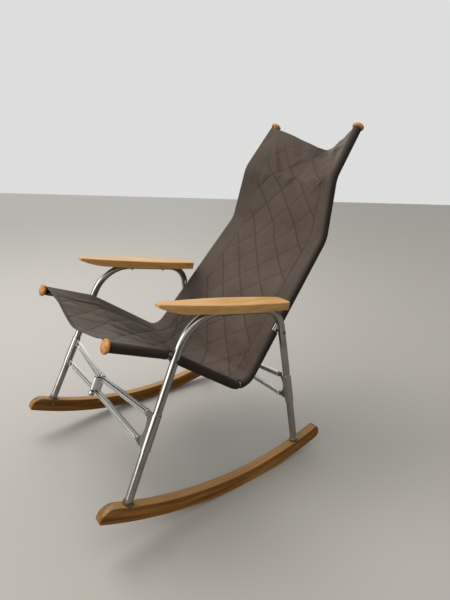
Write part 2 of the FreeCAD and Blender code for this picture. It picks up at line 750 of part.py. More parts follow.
def make_hub_plate(pivot_offset):
    # A flat stop across the top of the hub, riveted to the yoke of the -X side
    hub_y = pivot_offset - HUB_SET_FORWARD
    low = HUB_SPREAD / 2 + BAR_WIDTH / 2 + PLATE_RISE
    half = V(PLATE_SIZE[0] / 2, PLATE_SIZE[1] / 2, 0)
    centre = V(0, hub_y, low)
    plate = box(centre - half, centre + half + V(0, 0, PLATE_THICKNESS))
    upright = [e for e in plate.Edges if e.BoundBox.ZLength > PLATE_THICKNESS / 2]
    plate = plate.makeFillet(PLATE_SIZE[1] / 2 - 0.5, upright)
    spot = centre - V(BAR_WIDTH / 2 + STOP_GAP, 0, 0)
    rivet = rod(spot - V(0, 0, RIVET_DEPTH), spot + V(0, 0, PLATE_THICKNESS + RIVET_HEAD_RISE), RIVET_RADIUS)
    foot = rod(spot - V(0, 0, RIVET_DEPTH), spot, PLATE_FOOT_RADIUS)
    under = mirrored(yoke_blank(pivot_offset, False))
    return plate.fuse(foot.cut(under)).fuse(rivet.cut(under)).removeSplitter()


def leg_axis(foot_y, angle, height, frame):
    # The leg's own axis in the frame of its links, at two heights
    low = frame.inverse().multVec(leg_point(foot_y, angle, height - 100))
    high = frame.inverse().multVec(leg_point(foot_y, angle, height + 100))
    return low, (high - low).normalize()


def make_bracket(foot_y, angle, height, frame, pivot_offset):
    low, way = leg_axis(foot_y, angle, height, frame)
    centre = low - way * (low.z / way.z)
    half = SLEEVE_LENGTH / 2
    sleeve = rod(centre - way * half, centre + way * half, SLEEVE_DIAMETER / 2)
    edge = PIVOT_X + BRACKET_EDGE_GAP
    half_plate = BRACKET_PLATE / 2
    plate = box(
        V(edge, pivot_offset - half_plate, -half + 2), V(centre.x, pivot_offset + half_plate, half - 2)
    )
    chord = PIVOT_SPREAD / 2 - BRACKET_KNUCKLE / 2 - 3
    arc = (chord ** 2 + BRACKET_HOLLOW ** 2) / (2 * BRACKET_HOLLOW)
    pit = V(edge + BRACKET_HOLLOW - arc, pivot_offset, 0)
    plate = plate.cut(rod(pit - V(0, 20, 0), pit + V(0, 20, 0), arc))
    radius = BRACKET_KNUCKLE_DIAMETER / 2
    for sign in (1, -1):
        middle = V(PIVOT_X, pivot_offset, sign * PIVOT_SPREAD / 2)
        rise = V(0, 0, BRACKET_KNUCKLE / 2)
        plate = plate.fuse(rod(middle - rise, middle + rise, radius))
        tongue = box(
            middle - rise - V(0, half_plate + 0.5, 0), V(edge + 4, pivot_offset + half_plate + 0.5, middle.z) + rise
        )
        plate = plate.fuse(tongue)
    bracket = sleeve.fuse(plate)
    bracket = bracket.cut(rod(centre - way * 100, centre + way * 100, TUBE_RADIUS + FIT))
    bore = PIVOT_PIN_DIAMETER / 2
    bracket = bracket.cut(rod(V(PIVOT_X, pivot_offset, -100), V(PIVOT_X, pivot_offset, 100), bore))
    return bracket.removeSplitter()


def make_pivot_pins(pivot_offset):
    pins = []
    for sign in (1, -1):
        middle = V(PIVOT_X, pivot_offset, sign * PIVOT_SPREAD / 2)
        reach = V(0, 0, BAR_WIDTH / 2 + PIVOT_HEAD_GAP)
        pin = rod(middle - reach, middle + reach, PIVOT_PIN_DIAMETER / 2)
        radius = PIVOT_HEAD_DIAMETER / 2
        ball = (radius ** 2 + PIVOT_HEAD_HEIGHT ** 2) / (2 * PIVOT_HEAD_HEIGHT)
        for way in (1, -1):
            seat = middle + reach * way
            outer = seat + V(0, 0, way * PIVOT_HEAD_HEIGHT)
            dome = Part.makeSphere(ball, outer - V(0, 0, way * ball))
            pin = pin.fuse(dome.common(rod(seat, outer + V(0, 0, way), radius)))
        pins.append(pin.removeSplitter())
    return Part.Compound(pins)


def side_nodes():
    rocker = make_rocker()
    frame_rod = rod_along(frame_path(), TUBE_RADIUS)
    sling_rod = rod_along(sling_path(), SLING_RADIUS)
    corners = sling_corners()
    seat_runs, back_runs = hem_runs()
    nodes = {
        "rocker": rocker,
        "frame_tube": make_frame_tube(),
        "foot_collars": make_foot_collars(rocker),
        "collar_screws": make_collar_screws(),
        "foot_pins": make_foot_pins(),
        "armrest": make_armrest(),
        "armrest_screws": make_armrest_screws(),
        "sling_tube": make_sling_tube(),
        "sling_bolts": make_sling_bolts(frame_rod),
        "sling_nuts": make_sling_nuts(sling_rod),
        "sling_spacers": make_sling_spacers(frame_rod, sling_rod),
        "front_knob": make_knob(corners[0], corners[1]),
        "top_knob": make_knob(corners[5], corners[4]),
        "seat_hem": make_hems(seat_runs),
        "back_hem": make_hems(back_runs),
    }
    places = (
        ("front", FRONT_FOOT_Y, FRONT_LEG_ANGLE, FRONT_LINK_HEIGHT, front_link_frame(), FRONT_PIVOT_OFFSET),
        ("rear", REAR_FOOT_Y, REAR_LEG_ANGLE, REAR_LINK_HEIGHT, rear_link_frame(), REAR_PIVOT_OFFSET),
    )
    for name, foot_y, angle, height, frame, offset in places:
        bracket = make_bracket(foot_y, angle, height, frame, offset)
        bracket.Placement = frame.multiply(bracket.Placement)
        nodes[name + "_bracket"] = bracket
        pins = make_pivot_pins(offset)
        pins.Placement = frame.multiply(pins.Placement)
        nodes[name + "_pivot_pins"] = pins
    return nodes


def link_nodes():
    nodes = {}
    places = (
        ("front", front_link_frame(), FRONT_PIVOT_OFFSET), ("rear", rear_link_frame(), REAR_PIVOT_OFFSET)
    )
    for name, frame, offset in places:
        made = {
            name + "_left_yoke": make_yoke(offset, True),
            name + "_right_yoke": mirrored(make_yoke(offset, False)),
            name + "_hinge_pin": make_hinge_pin(offset),
            name + "_hub_plate": make_hub_plate(offset),
        }
        for key, shape in made.items():
            shape.Placement = frame.multiply(shape.Placement)
            nodes[key] = shape
    return nodes


def main():
    nodes = {}
    for name, shape in side_nodes().items():
        nodes["left_" + name] = shape
        nodes["right_" + name] = mirrored(shape)
    nodes.update(link_nodes())
    nodes["sling_panel"] = make_sling_panel()
    for shape in nodes.values():
        shape.rotate(V(0, 0, ROCKER_RADIUS), V(1, 0, 0), REST_TILT)
    toe = nodes["left_rocker"].optimalBoundingBox(True, False).YMin
    crest = max(nodes[name].optimalBoundingBox(True, False).YMax for name in ("left_top_knob", "sling_panel"))
    shift = V(0, -(toe + crest) / 2, 0)
    os.makedirs("parts", exist_ok=True)
    for name, shape in nodes.items():
        shape.translate(shift)
        shape.exportStep("parts/" + name + ".step")
    tilt = FreeCAD.Rotation(V(1, 0, 0), REST_TILT)
    hub = V(0, 0, ROCKER_RADIUS)
    for name, frame, offset in (
        ("front", front_link_frame(), FRONT_PIVOT_OFFSET), ("rear", rear_link_frame(), REAR_PIVOT_OFFSET)
    ):
        for label, x, y in (("pivot", PIVOT_X, offset), ("hinge", 0, hinge_line(offset))):
            spot = tilt.multVec(frame.multVec(V(x, y, 0)) - hub) + hub + shift
            print(name, label, [round(c, 4) for c in spot])
        axis = tilt.multVec(frame.Rotation.multVec(V(0, 0, 1)))
        print(name, "axis", [round(c, 6) for c in axis])
    print("length", round(crest - toe, 3), "shift", round(shift.y, 4))


main()
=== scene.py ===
import math

import bmesh
import bpy
from mathutils import Matrix, Vector, noise


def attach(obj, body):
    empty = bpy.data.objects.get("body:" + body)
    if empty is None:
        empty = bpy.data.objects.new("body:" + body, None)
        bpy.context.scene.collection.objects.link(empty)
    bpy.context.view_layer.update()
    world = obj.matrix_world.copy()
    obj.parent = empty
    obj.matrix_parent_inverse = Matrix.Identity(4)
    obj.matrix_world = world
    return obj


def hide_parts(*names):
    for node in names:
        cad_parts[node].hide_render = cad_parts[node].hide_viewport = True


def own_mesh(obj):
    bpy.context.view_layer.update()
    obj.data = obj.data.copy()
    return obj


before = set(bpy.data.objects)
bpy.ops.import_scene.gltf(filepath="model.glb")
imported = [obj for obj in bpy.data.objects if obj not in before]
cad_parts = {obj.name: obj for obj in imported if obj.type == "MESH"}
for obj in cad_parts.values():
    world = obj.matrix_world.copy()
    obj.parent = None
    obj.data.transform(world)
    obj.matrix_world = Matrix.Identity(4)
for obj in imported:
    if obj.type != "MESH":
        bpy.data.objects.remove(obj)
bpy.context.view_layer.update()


# Rockers. Each is one hardwood board bent to a single arc, with a rounded nose and tail, stained
# reddish brown and lacquered. The grain follows the bend, so it is drawn round the arc's centre.
ROCKER_RADIUS = 0.984
ROCKER_DEPTH = 0.04
CONTACT_Y = -0.0284605
TOP_FADE = 0.004

# Wear of the noses: where it starts and is full, along the arc and below the board's top
NOSE_WEAR = (-0.395, -0.445)
TIP_WEAR = (-0.462, -0.474)
NOSE_WEAR_DEPTH = (0.02, 0.008)


def start_material(name, colour, roughness, metallic=0.0):
    material = bpy.data.materials.new(name)
    material.use_nodes = True
    shader = material.node_tree.nodes["Principled BSDF"]
    shader.inputs["Base Color"].default_value = (*colour, 1)
    shader.inputs["Roughness"].default_value = roughness
    shader.inputs["Metallic"].default_value = metallic
    return material, material.node_tree, shader


def add_node(tree, kind, values=None, links=None, **settings):
    node = tree.nodes.new(kind)
    for key, value in settings.items():
        setattr(node, key, value)
    for key, value in (values or {}).items():
        node.inputs[key].default_value = value
    for key, socket in (links or {}).items():
        tree.links.new(socket, node.inputs[key])
    return node


def object_place(tree):
    return add_node(tree, "ShaderNodeTexCoord").outputs["Object"]


def split_up(tree, place):
    return add_node(tree, "ShaderNodeSeparateXYZ", links={0: place}).outputs


def measured_from(tree, place, origin):
    return add_node(tree, "ShaderNodeVectorMath", {1: origin}, {0: place}, operation="SUBTRACT").outputs[0]


def drawn_out(tree, place, scale):
    # A pattern that repeats so many times in a metre along each axis
    return add_node(tree, "ShaderNodeMapping", {"Scale": scale}, {0: place}).outputs[0]


def mottle(tree, place, scale, detail, roughness=0.5):
    values = {"Scale": scale, "Detail": detail, "Roughness": roughness}
    return add_node(tree, "ShaderNodeTexNoise", values, {0: place}).outputs[0]


def arithmetic(tree, operation, first, second=None):
    node = tree.nodes.new("ShaderNodeMath")
    node.operation = operation
    for place, value in enumerate((first, second)):
        if value is None:
            continue
        if isinstance(value, (int, float)):
            node.inputs[place].default_value = value
        else:
            tree.links.new(value, node.inputs[place])
    return node.outputs[0]


def rescaled(tree, value, source, target=(0.0, 1.0), **settings):
    # From the source range to the target range, and held at its ends outside it
    ends = {"From Min": source[0], "From Max": source[1], "To Min": target[0], "To Max": target[1]}
    return add_node(tree, "ShaderNodeMapRange", ends, {0: value}, **settings).outputs[0]


def colour_ramp(tree, factor, stops):
    node = tree.nodes.new("ShaderNodeValToRGB")
    ramp = node.color_ramp
    while len(ramp.elements) < len(stops):
        ramp.elements.new(0.5)
    for element, (place, colour) in zip(ramp.elements, stops):
        element.position = place
        element.color = (*colour, 1)
    tree.links.new(factor, node.inputs[0])
    return node.outputs["Color"]


def blended(tree, factor, first, second, blend_type="MIX"):
    # The factor is a number or a socket, and each colour is three numbers or a socket
    node = add_node(tree, "ShaderNodeMix", data_type="RGBA", blend_type=blend_type)
    for place, value in ((0, factor), (6, first), (7, second)):
        if isinstance(value, (int, float)):
            node.inputs[place].default_value = value
        elif isinstance(value, tuple):
            node.inputs[place].default_value = (*value, 1)
        else:
            tree.links.new(value, node.inputs[place])
    return node.outputs[2]


def bumped(tree, shader, height, strength, distance, under=None):
    links = {"Height": height}
    if under is not None:
        links["Normal"] = under
    node = add_node(tree, "ShaderNodeBump", {"Strength": strength, "Distance": distance}, links)
    tree.links.new(node.outputs["Normal"], shader.inputs["Normal"])
    return node.outputs["Normal"]


def both_sides(*parts):
    return [side + part for side in ("left_", "right_") for part in parts]


def dress(nodes, material):
    for name in nodes:
        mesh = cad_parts[name].data
        mesh.materials.clear()
        mesh.materials.append(material)


def bent_wood():
    material, tree, shader = start_material("rocker_bent_wood", (0.2, 0.085, 0.03), 0.36)
    place = object_place(tree)
    split = split_up(tree, measured_from(tree, place, (0, CONTACT_Y, ROCKER_RADIUS)))
    drop = arithmetic(tree, "MULTIPLY", split["Z"], -1)
    turn = arithmetic(tree, "ARCTAN2", split["Y"], drop)
    along = arithmetic(tree, "MULTIPLY", turn, ROCKER_RADIUS)
    squares = arithmetic(tree, "ADD", arithmetic(tree, "POWER", split["Y"], 2),
                         arithmetic(tree, "POWER", drop, 2))
    out = arithmetic(tree, "SQRT", squares)
    laid = add_node(tree, "ShaderNodeCombineXYZ", links={0: split["X"], 1: along, 2: out}).outputs[0]
    grain = mottle(tree, drawn_out(tree, laid, (70, 4.0, 70)), scale=1.0, detail=6, roughness=0.62)
    pores = mottle(tree, drawn_out(tree, laid, (420, 14, 420)), scale=1.0, detail=3, roughness=0.7)
    mixed = arithmetic(tree, "ADD", arithmetic(tree, "MULTIPLY", grain, 0.7),
                       arithmetic(tree, "MULTIPLY", pores, 0.3))
    tone = colour_ramp(tree, mixed, [
        (0.30, (0.095, 0.036, 0.007)), (0.46, (0.21, 0.088, 0.018)),
        (0.56, (0.31, 0.145, 0.036)), (0.72, (0.46, 0.245, 0.075)),
    ])
    patches = mottle(tree, place, scale=7.0, detail=2)
    stain = colour_ramp(tree, patches, [(0.3, (0.72, 0.66, 0.6)), (0.7, (1, 1, 1))])
    stained = blended(tree, 1.0, tone, stain, "MULTIPLY")
    # The board's top face is lighter, blended in over its first few millimetres
    inner = ROCKER_RADIUS - ROCKER_DEPTH
    top = rescaled(tree, out, (inner, inner + TOP_FADE), (0.5, 0.0))
    lighter_on_top = blended(tree, top, stained, (0.42, 0.25, 0.105))
    # The noses have weathered grey where they are touched and knocked
    nose = rescaled(tree, along, NOSE_WEAR, (0.0, 0.85))
    upper = rescaled(tree, out, [inner + depth for depth in NOSE_WEAR_DEPTH])
    tip = rescaled(tree, along, TIP_WEAR, (0.0, 0.6))
    greyed = arithmetic(tree, "MAXIMUM", arithmetic(tree, "MULTIPLY", nose, upper), tip)
    knocked = colour_ramp(tree, mixed, [
        (0.38, (0.05, 0.03, 0.018)), (0.5, (0.19, 0.125, 0.075)), (0.66, (0.34, 0.25, 0.17)),
    ])
    tree.links.new(blended(tree, greyed, lighter_on_top, knocked), shader.inputs["Base Color"])
    tree.links.new(rescaled(tree, pores, (0.0, 1.0), (0.34, 0.6)), shader.inputs["Roughness"])
    shader.inputs["Specular IOR Level"].default_value = 0.15
    bumped(tree, shader, mixed, strength=0.35, distance=0.0004)
    return material


dress(both_sides("rocker"), bent_wood())


# Side frames and sling tubes. They are chrome-plated steel tube, each bent from one length, with
# the dull brown bloom and fine pitting that old chrome has.
def old_chrome():
    material, tree, shader = start_material("old_chrome", (0.5, 0.48, 0.44), 0.15, metallic=1.0)
    place = object_place(tree)
    bloom = mottle(tree, place, scale=26.0, detail=5, roughness=0.6)
    pits = mottle(tree, place, scale=620.0, detail=2, roughness=0.6)
    tone = colour_ramp(tree, bloom, [
        (0.30, (0.40, 0.375, 0.33)), (0.50, (0.52, 0.50, 0.46)), (0.75, (0.60, 0.58, 0.54)),
    ])
    specks = colour_ramp(tree, pits, [(0.24, (0.5, 0.44, 0.37)), (0.32, (1, 1, 1))])
    tree.links.new(blended(tree, 1.0, tone, specks, "MULTIPLY"), shader.inputs["Base Color"])
    tree.links.new(rescaled(tree, bloom, (0.3, 0.7), (0.22, 0.12)), shader.inputs["Roughness"])
    return material


dress(both_sides("frame_tube", "sling_tube"), old_chrome())


# Fasteners. The feet and armrests have plain steel screws and pins, a little duller than the plated
# tubes. The bolts that hold the sling tubes between the legs are blackened, with their nuts and
# spacers, and the collars that seat the legs on the rockers are dark.
def fastener_steel(name, dark, light):
    material, tree, shader = start_material(name, light, 0.36, metallic=1.0)
    marks = mottle(tree, object_place(tree), scale=240.0, detail=4)
    tone = colour_ramp(tree, marks, [(0.3, dark), (0.6, light)])
    tree.links.new(tone, shader.inputs["Base Color"])
    bumped(tree, shader, marks, strength=0.2, distance=0.0002)
    return material


dress(both_sides("foot_pins", "collar_screws", "armrest_screws"),
      fastener_steel("plain_steel", (0.3, 0.28, 0.25), (0.52, 0.51, 0.48)))
dress(both_sides("sling_bolts", "sling_nuts", "sling_spacers"),
      fastener_steel("blackened_steel", (0.05, 0.045, 0.04), (0.13, 0.12, 0.11)))
dress(both_sides("foot_collars"),
      fastener_steel("dark_collar_steel", (0.12, 0.1, 0.08), (0.3, 0.27, 0.22)))


# Folding links. The yokes are pressed channels of nickelled steel, open in front, with painted shade
# darkening the groove. Ball-ended pins hinge them at the hubs, under riveted stop plates, and
# riveted pins hold their outer ends.
PIVOT_X = 0.225
HUB_HALF = 0.019
PIVOT_RISE = 0.014
HUB_FORWARD = 0.015
GROOVE_EDGE = (0.0027, 0.0014)
GROOVE_BACK = 0.0036
FRONT_PIVOT = (0, -0.3209301, 0.2690685)
FRONT_LEG_WAY = (0, 0.413104, 0.910684)
REAR_PIVOT = (0, 0.1180154, 0.2371848)
REAR_LEG_WAY = (0, -0.163326, 0.986572)


def bright_nickel(name):
    material, tree, shader = start_material(name, (0.66, 0.65, 0.62), 0.2, metallic=1.0)
    place = object_place(tree)
    bloom = mottle(tree, place, scale=22.0, detail=3, roughness=0.5)
    tone = colour_ramp(tree, bloom, [
        (0.32, (0.54, 0.52, 0.48)), (0.52, (0.62, 0.61, 0.57)), (0.75, (0.68, 0.67, 0.64)),
    ])
    tree.links.new(tone, shader.inputs["Base Color"])
    tree.links.new(rescaled(tree, bloom, (0.3, 0.7), (0.28, 0.2)), shader.inputs["Roughness"])
    return material, tree, shader, place, tone


def length_along(tree, place, way):
    node = add_node(tree, "ShaderNodeVectorMath", {1: way}, {0: place}, operation="DOT_PRODUCT")
    return node.outputs["Value"]


def channel_nickel(name, pivot, up):
    # The two bars spread from the hub to the outer pivots, so their centre lines are found from x
    material, tree, shader, place, tone = bright_nickel(name)
    apart = measured_from(tree, place, pivot)
    rise = length_along(tree, apart, up)
    depth = length_along(tree, apart, (0, up[2], -up[1]))
    across = arithmetic(tree, "ABSOLUTE", split_up(tree, place)["X"])
    share = arithmetic(tree, "DIVIDE", across, PIVOT_X)
    bar = arithmetic(tree, "ADD", arithmetic(tree, "MULTIPLY", share, PIVOT_RISE), HUB_HALF)
    off_bar = arithmetic(tree, "SUBTRACT", arithmetic(tree, "ABSOLUTE", rise), bar)
    narrow = rescaled(tree, arithmetic(tree, "ABSOLUTE", off_bar), GROOVE_EDGE)
    lead = arithmetic(tree, "MULTIPLY", arithmetic(tree, "SUBTRACT", share, 1.0), -HUB_FORWARD)
    in_front = arithmetic(tree, "LESS_THAN", arithmetic(tree, "ADD", depth, lead), GROOVE_BACK)
    # Painted shade: the groove in front of each bar is coloured near black, where shade falls in the
    # channel
    groove_painted_shade = arithmetic(tree, "MULTIPLY", narrow, in_front)
    pale = blended(tree, 0.5, tone, (0.8, 0.79, 0.76))
    tree.links.new(blended(tree, groove_painted_shade, pale, (0.07, 0.062, 0.05)), shader.inputs["Base Color"])
    shader.inputs["Metallic"].default_value = 0.5
    return material


dress(("front_left_yoke", "front_right_yoke"),
      channel_nickel("front_channel_nickel", FRONT_PIVOT, FRONT_LEG_WAY))
dress(("rear_left_yoke", "rear_right_yoke"),
      channel_nickel("rear_channel_nickel", REAR_PIVOT, REAR_LEG_WAY))
dress(["front_hinge_pin", "front_hub_plate", "rear_hinge_pin", "rear_hub_plate"]
      + both_sides("front_pivot_pins", "rear_pivot_pins"), bright_nickel("bright_nickel")[0])


# Brackets. Each is a steel plate with two knuckles for the links' outer pins, on a sleeve round the
# leg. The plates have lost their shine, in patches, and the sleeves have kept it.
FOOT_X = 0.27
FRAME_LEAN = math.radians(4)
BRACKET_SLEEVE = 0.011


def bracket_plate():
    material, tree, shader = start_material("bracket_plate", (0.3, 0.28, 0.23), 0.4, metallic=1.0)
    place = object_place(tree)
    split = split_up(tree, place)
    leaned = arithmetic(tree, "MULTIPLY", split["Z"], math.tan(FRAME_LEAN))
    out = arithmetic(tree, "ADD", arithmetic(tree, "ABSOLUTE", split["X"]), leaned)
    on_leg = arithmetic(tree, "GREATER_THAN", out, FOOT_X - BRACKET_SLEEVE)
    tone = colour_ramp(tree, mottle(tree, place, scale=60.0, detail=4, roughness=0.6), [
        (0.35, (0.20, 0.18, 0.145)), (0.6, (0.33, 0.31, 0.26)), (0.78, (0.5, 0.48, 0.43)),
    ])
    tree.links.new(blended(tree, on_leg, tone, (0.55, 0.53, 0.49)), shader.inputs["Base Color"])
    tree.links.new(rescaled(tree, on_leg, (0.0, 1.0), (0.4, 0.18)), shader.inputs["Roughness"])
    return material


dress(both_sides("front_bracket", "rear_bracket"), bracket_plate())


# Armrests. Each is sawn from one board of pale honey-coloured hardwood, pointed in front, with
# rounded edges, a groove below for the tube and a clear satin lacquer that has worn off in places.
ARM_SLOPE = math.radians(9.6)
GRAIN_WAVER = 0.06


def honey_wood():
    material, tree, shader = start_material("honey_wood", (0.5, 0.28, 0.11), 0.4)
    turned = add_node(tree, "ShaderNodeMapping", {"Rotation": (ARM_SLOPE, 0, 0)},
                      {0: object_place(tree)}).outputs[0]
    wavy = add_node(tree, "ShaderNodeTexNoise", {"Scale": 5.0, "Detail": 2}, {0: turned}).outputs["Color"]
    shifted = add_node(tree, "ShaderNodeMix", {0: GRAIN_WAVER}, {4: turned, 5: wavy},
                       data_type="VECTOR").outputs[1]
    grain = mottle(tree, drawn_out(tree, shifted, (75, 4.5, 50)), scale=1.0, detail=5, roughness=0.6)
    pores = mottle(tree, drawn_out(tree, turned, (520, 16, 520)), scale=1.0, detail=3, roughness=0.7)
    mixed = arithmetic(tree, "ADD", arithmetic(tree, "MULTIPLY", grain, 0.65),
                       arithmetic(tree, "MULTIPLY", pores, 0.35))
    tone = colour_ramp(tree, mixed, [
        (0.30, (0.31, 0.140, 0.040)), (0.46, (0.48, 0.255, 0.085)),
        (0.56, (0.55, 0.315, 0.120)), (0.72, (0.63, 0.400, 0.175)),
    ])
    tree.links.new(tone, shader.inputs["Base Color"])
    tree.links.new(rescaled(tree, grain, (0.0, 1.0), (0.34, 0.6)), shader.inputs["Roughness"])
    shader.inputs["Specular IOR Level"].default_value = 0.25
    bumped(tree, shader, mixed, strength=0.3, distance=0.0003)
    return material


dress(both_sides("armrest"), honey_wood())


# Knobs. Turned hardwood buttons close the four ends of the sling tubes and keep the cloth from
# slipping off; the orange stain varies in tone with the grain.
def turned_wood():
    material, tree, shader = start_material("turned_wood", (0.55, 0.22, 0.06), 0.38)
    fibres = drawn_out(tree, object_place(tree), (160, 40, 160))
    grain = mottle(tree, fibres, scale=1.0, detail=5, roughness=0.6)
    tone = colour_ramp(tree, grain, [
        (0.32, (0.32, 0.115, 0.03)), (0.5, (0.52, 0.235, 0.075)), (0.7, (0.66, 0.37, 0.15)),
    ])
    tree.links.new(tone, shader.inputs["Base Color"])
    shader.inputs["Specular IOR Level"].default_value = 0.3
    bumped(tree, shader, grain, strength=0.25, distance=0.0003)
    return material


dress(both_sides("front_knob", "top_knob"), turned_wood())


# Sling. One length of brown leatherette is quilted in squares set on their corners, and its sides
# are turned round the sling tubes and sewn down. It hangs slack between the tubes, deeper at the
# front and top edges. The two sides stay on their tubes; the middle gathers when the chair folds.
REST_TILT = math.radians(1.9)
SLING_CORNERS = [
    (-0.377, 0.4975), (-0.244, 0.4408), (-0.0222, 0.2719),
    (0.2913, 0.6293), (0.3318, 0.7961), (0.434, 0.923),
]
SLING_BENDS = [0, 0.08, 0.05, 0.08, 0.08, 0]
SLING_X_AT_FLOOR = 0.2575
SLING_LEAN = math.radians(5.03)
SLING_TOE = math.radians(0.8)
SLEEVE_RADIUS = 0.0124
CLOTH_THICKNESS = 0.0016


def sling_runs():
    # Straight runs and arcs of the tube in the side view: length, start, heading and turn
    runs = []
    spot = Vector(SLING_CORNERS[0])
    last = len(SLING_CORNERS) - 1
    for i in range(1, last + 1):
        here = Vector(SLING_CORNERS[i])
        way = (here - Vector(SLING_CORNERS[i - 1])).normalized()
        heading = math.atan2(way.y, way.x)
        if i == last:
            runs.append(((here - spot).length, spot, heading, 0.0))
            break
        onward = (Vector(SLING_CORNERS[i + 1]) - here).normalized()
        turn = math.atan2(way.x * onward.y - way.y * onward.x, way.dot(onward))
        trim = SLING_BENDS[i] * math.tan(abs(turn) / 2)
        end = here - way * trim
        runs.append(((end - spot).length, spot, heading, 0.0))
        runs.append((abs(turn) * SLING_BENDS[i], end, heading, turn))
        spot = here + onward * trim
    return runs


RUNS = sling_runs()
SLING_LENGTH = sum(run[0] for run in RUNS)


def sling_line(distance):
    # The spot on the tube's centre line, and its heading, at a distance from the front end
    for index, (length, start, heading, turn) in enumerate(RUNS):
        if distance > length and index < len(RUNS) - 1:
            distance -= length
            continue
        if turn == 0:
            return start + Vector((math.cos(heading), math.sin(heading))) * distance, heading
        radius = length / turn
        reached = heading + turn * distance / length
        centre = start + Vector((-math.sin(heading), math.cos(heading))) * radius
        return centre + Vector((math.sin(reached), -math.cos(reached))) * radius, reached


def tube_x(spot):
    return SLING_X_AT_FLOOR - spot.y * math.tan(SLING_LEAN) - spot.x * math.tan(SLING_TOE)


def in_frame(x, y, z):
    # The side view is drawn before the chair is rolled on its rockers to where it rests
    rise = z - ROCKER_RADIUS
    return Vector((
        x,
        CONTACT_Y + y * math.cos(REST_TILT) - rise * math.sin(REST_TILT),
        ROCKER_RADIUS + y * math.sin(REST_TILT) + rise * math.cos(REST_TILT),
    ))


# Distance along the tube, the sag there and its fullness, where 1 is a V and 2 an even curve
HANG = [
    (0.010, 0.031, 1.1), (0.070, 0.034, 1.4), (0.138, 0.036, 1.6), (0.172, 0.035, 1.6), (0.300, 0.032, 1.7),
    (0.372, 0.022, 1.9), (0.410, 0.018, 2.0), (0.500, 0.018, 2.0), (0.640, 0.020, 1.9), (0.780, 0.023, 1.9),
    (0.860, 0.027, 1.8), (0.905, 0.031, 1.7), (0.985, 0.041, 1.6), (1.034, 0.049, 1.5), (1.075, 0.055, 1.4),
    (1.140, 0.066, 1.25), (1.215, 0.081, 1.05),
]


def hang(distance):
    for (low, sag, fullness), (high, next_sag, next_fullness) in zip(HANG, HANG[1:]):
        if distance <= high:
            share = max((distance - low) / (high - low), 0)
            return sag + (next_sag - sag) * share, fullness + (next_fullness - fullness) * share
    return HANG[-1][1:]


def section(along):
    # The tube's spot and heading, half the width between the tubes, and the slant at which the
    # cloth leaves its sleeve
    spot, heading = sling_line(along)
    half = tube_x(spot)
    sag, fullness = hang(along)
    return spot, heading, half, math.atan(fullness * (sag + SLEEVE_RADIUS) / half)


def cloth_edge(half, leave):
    return half - SLEEVE_RADIUS * math.sin(leave)


def below_tubes(x, spot, heading, depth):
    return in_frame(x, spot.x + depth * math.sin(heading), spot.y - depth * math.cos(heading))


# Quilting: plain borders round it, seams on two slants that bow with the cloth, and soft squares
HEM_WIDTH = 0.05
FRONT_HEM = 0.022
TOP_HEM = 0.05
QUILT_STEP = 0.099
QUILT_START = 0.8495
QUILT_SLANT = 1.3
QUILT_ROUND = 0.010
QUILT_HEIGHT = 0.0015
BORDER_ROUND = 0.002
BORDER_HEIGHT = 0.0008


def quilting(across, along, inside):
    # How far a spot stands out from the seams round it, from 0 on a seam to 1
    nearest = inside
    slanted = across - QUILT_SLANT * across * across
    for offset in (along + slanted, along - slanted):
        turns = (offset - QUILT_START) / QUILT_STEP
        nearest = min(nearest, abs(turns - round(turns)) * QUILT_STEP / math.sqrt(2))
    return 1 - math.exp(-(nearest / QUILT_ROUND) ** 2)


# Pulled folds: where each starts and ends as (across, along), its height and its width
FOLDS = [
    ((0.168, 1.168), (0.178, 1.082), 0.0055, 0.007), ((0.150, 1.162), (0.062, 1.162), 0.0055, 0.007),
    ((0.130, 1.140), (0.095, 1.110), -0.0070, 0.011), ((0.045, 1.155), (0.020, 1.090), 0.0045, 0.007),
    ((0.165, 1.062), (0.090, 1.005), 0.0055, 0.008), ((0.010, 1.100), (-0.030, 1.005), -0.0050, 0.008),
    ((-0.060, 1.150), (0.020, 1.122), -0.0060, 0.009), ((-0.135, 1.160), (-0.060, 1.040), 0.0055, 0.008),
    ((0.120, 1.080), (0.060, 1.020), -0.0040, 0.010), ((-0.020, 1.150), (-0.060, 1.080), 0.0035, 0.008),
    ((0.170, 0.470), (0.060, 0.400), -0.0035, 0.009), ((0.185, 0.380), (0.090, 0.425), 0.0035, 0.010),
    ((-0.165, 0.390), (-0.060, 0.425), 0.0035, 0.010), ((-0.180, 0.450), (-0.080, 0.405), -0.0030, 0.010),
]
FOLD_TAPER = 0.75


def pulled(across, along):
    spot = Vector((across, along))
    height = 0.0
    for start, end, rise, width in FOLDS:
        way = Vector(end) - Vector(start)
        share = max(0.0, min(1.0, (spot - Vector(start)).dot(way) / way.length_squared))
        gap = (spot - Vector(start) - way * share).length
        height += rise * (1 - FOLD_TAPER * (2 * share - 1) ** 2) * math.exp(-(gap / width) ** 2)
    return height


# Creases: the stretches of the cloth that have their own, by their middle and reach along it
SEAT_CREASES = (0.2, 0.26)
BEND_CREASES = (0.44, 0.12)
CROWN_START = 0.98
CROWN_LENGTH = 0.235


def closeness(along, stretch):
    middle, reach = stretch
    return max(0.0, 1 - abs(along - middle) / reach)


def waves(across, along, pattern):
    return noise.noise(Vector((across, along, pattern)))


def creases(across, along):
    # Long soft folds down the seat, flat ones at its lower bend, and slanted ones below the top
    # edge, each as waves across and along, their pattern and their height
    seat = closeness(along, SEAT_CREASES)
    crown = max(0.0, (along - CROWN_START) / CROWN_LENGTH)
    folds = waves(across * 42, along * 7, 3.1) * 0.0030 * seat
    folds += waves(across * 90, along * 12, 8.7) * 0.0020 * seat
    folds += waves((across + along) * 26, (along - across) * 9, 5.3) * 0.0060 * crown
    folds += waves(across * 12, along * 60, 1.9) * 0.0028 * closeness(along, BEND_CREASES)
    return folds + pulled(across, along) + waves(across * 11, along * 11, 0.4) * 0.0022


